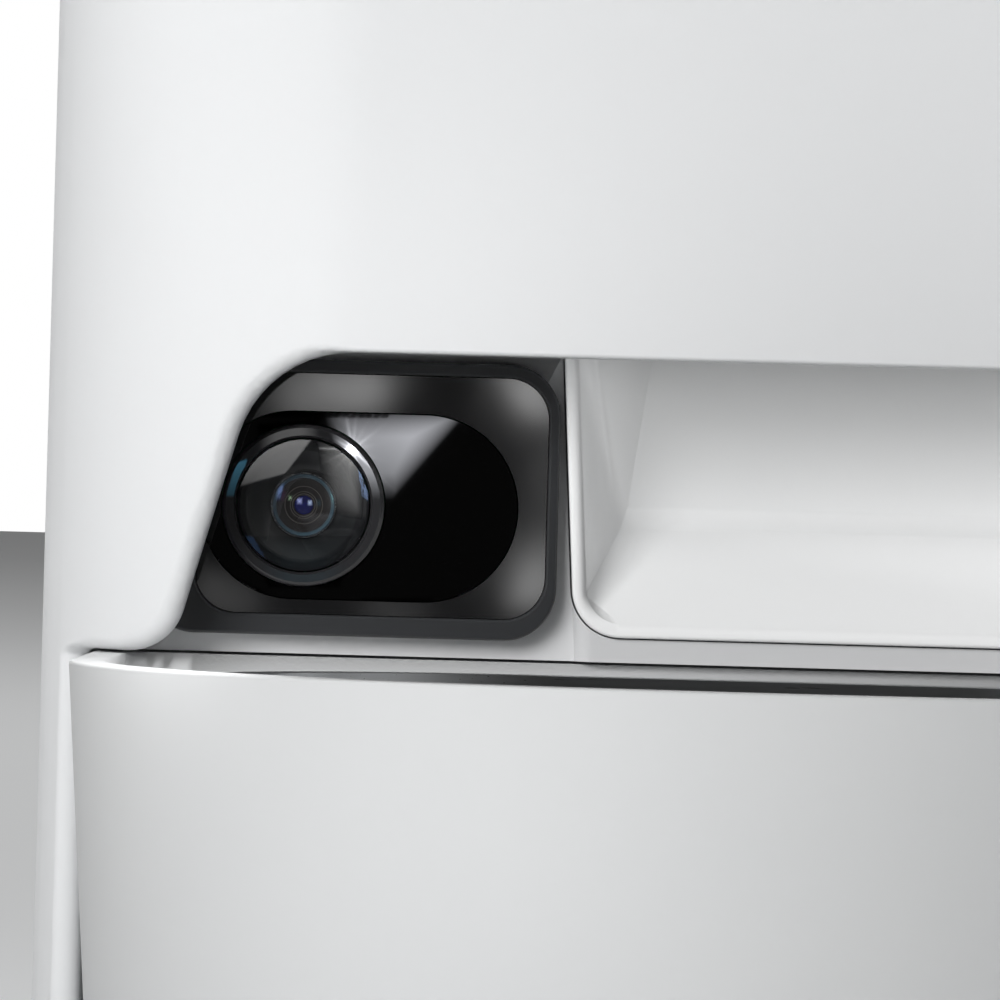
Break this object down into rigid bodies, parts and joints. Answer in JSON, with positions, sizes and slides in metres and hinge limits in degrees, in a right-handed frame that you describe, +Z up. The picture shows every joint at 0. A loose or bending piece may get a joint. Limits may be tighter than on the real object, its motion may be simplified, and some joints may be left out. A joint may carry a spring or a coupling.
{
  "type": "automatic pet feeder with camera",
  "caption": "White automatic dry food feeder with a hopper, metering rotor, chute and black camera panel in a bell-shaped niche above a slide-out tray with a steel bowl.",
  "frame": {"origin": "centre of the box that bounds the feeder and its tray, on the floor", "axes": "+Z up, -Y towards the tray and the camera, +X to the right as seen from the front"},
  "size_m": [0.19, 0.29, 0.32],
  "materials": {
    "shell_white": "satin moulded",
    "liner_white": "satin moulded",
    "chute_white": "semi gloss moulded",
    "bezel_satin": "satin",
    "panel_gloss": "high gloss",
    "window_glass": "polished, tinted",
    "lens_black": "anodised black",
    "dome_clear": "polished clear",
    "trim_bright": "polished",
    "lens_coated": "coated",
    "gasket_black": "matt",
    "board_green": "solder mask",
    "sensor_dark": "polished",
    "led_clear": "clear",
    "bin_smoke": "semi gloss moulded",
    "mechanism_grey": "satin moulded",
    "silicone_soft": "matt",
    "gear_nylon": "satin moulded",
    "steel_shaft": "ground",
    "motor_can": "zinc plated",
    "bowl_steel": "brushed",
    "rubber_foot": "matt",
    "contact_nickel": "nickel plated",
    "button_white": "semi gloss moulded",
    "light_ring": "frosted",
    "screw_steel": "zinc plated",
    "speaker_black": "matt"
  },
  "bodies": {
    "feeder": {"outer_shell": "shell_white", "niche_liner": "liner_white", "chute": "chute_white", "chute_sensor": "sensor_dark", "camera_bezel": "bezel_satin", "camera_face": "panel_gloss", "camera_gasket": "gasket_black", "camera_window": "window_glass", "lens_ring": "lens_black", "lens_dome": "dome_clear", "lens_hood": "lens_black", "lens_trim_ring": "trim_bright", "lens_glass": "lens_coated", "lens_barrel": "lens_black", "lens_mount": "mechanism_grey", "image_sensor": "sensor_dark", "camera_board": "board_green", "ir_leds": "led_clear", "camera_housing": "mechanism_grey", "rotor_housing": "mechanism_grey", "gear_motor": "motor_can", "hopper": "bin_smoke", "hinge_pin": "steel_shaft", "indicator_ring": "light_ring", "button_board": "board_green", "foot_rear_left": "rubber_foot", "foot_rear_right": "rubber_foot", "foot_front_left": "rubber_foot", "foot_front_right": "rubber_foot", "base_pan": "mechanism_grey", "base_screws": "screw_steel", "tray_bay": "mechanism_grey", "battery_bay": "mechanism_grey", "battery_contacts": "contact_nickel", "main_board": "board_green", "inlet_plate": "shell_white", "power_inlet": "contact_nickel", "speaker": "speaker_black"},
    "lid": {"lid": "shell_white", "lid_inner": "mechanism_grey", "lid_seal": "silicone_soft", "desiccant_holder": "mechanism_grey"},
    "lid_lock": {"lid_lock": "button_white"},
    "feed_button": {"feed_button": "button_white"},
    "reset_button": {"reset_button": "speaker_black"},
    "rotor": {"rotor_hub": "mechanism_grey", "rotor_vanes": "silicone_soft", "stirrer": "silicone_soft", "rotor_shaft": "steel_shaft", "rotor_gear": "gear_nylon"},
    "drive": {"drive_gear": "gear_nylon", "drive_shaft": "steel_shaft"},
    "tray": {"tray": "shell_white", "tray_pad_front_left": "rubber_foot", "tray_pad_front_right": "rubber_foot", "tray_pad_rear_left": "rubber_foot", "tray_pad_rear_right": "rubber_foot"},
    "bowl": {"steel_bowl": "bowl_steel"},
    "battery_door": {"battery_door": "shell_white"}
  },
  "joints": [
    {"name": "lid_hinge", "type": "hinge", "parent": "feeder", "child": "lid", "pos_m": [0, 0.141, 0.285], "axis": [-1, 0, 0], "range_deg": [0, 95]},
    {"name": "lid_lock_slide", "type": "slide", "parent": "lid", "child": "lid_lock", "axis": [1, 0, 0], "range_m": [0, 0.008]},
    {"name": "feed_press", "type": "slide", "parent": "feeder", "child": "feed_button", "axis": [0, 1, 0], "range_m": [0, 0.0012], "stiffness_N_per_m": 800},
    {"name": "reset_press", "type": "slide", "parent": "feeder", "child": "reset_button", "axis": [0, -1, 0], "range_m": [0, 0.0008], "stiffness_N_per_m": 800},
    {"name": "rotor_spin", "type": "hinge", "parent": "feeder", "child": "rotor", "pos_m": [0.0175, 0.036, 0.12], "axis": [0, 0, 1], "continuous": true},
    {"name": "drive_spin", "type": "hinge", "parent": "feeder", "child": "drive", "pos_m": [0.0175, 0.07215, 0.107], "axis": [0, 0, 1], "continuous": true},
    {"name": "tray_slide", "type": "slide", "parent": "feeder", "child": "tray", "axis": [0, -1, 0], "range_m": [0, 0.12]},
    {"name": "bowl_lift", "type": "slide", "parent": "tray", "child": "bowl", "axis": [0, 0, 1], "range_m": [0, 0.03]},
    {"name": "battery_door_hinge", "type": "hinge", "parent": "feeder", "child": "battery_door", "pos_m": [-0.016, 0.1438, 0.0155], "axis": [-1, 0, 0], "range_deg": [0, 95]}
  ],
  "couplings": [
    {"joint": "drive_spin", "follows": "rotor_spin", "ratio": -3}
  ]
}
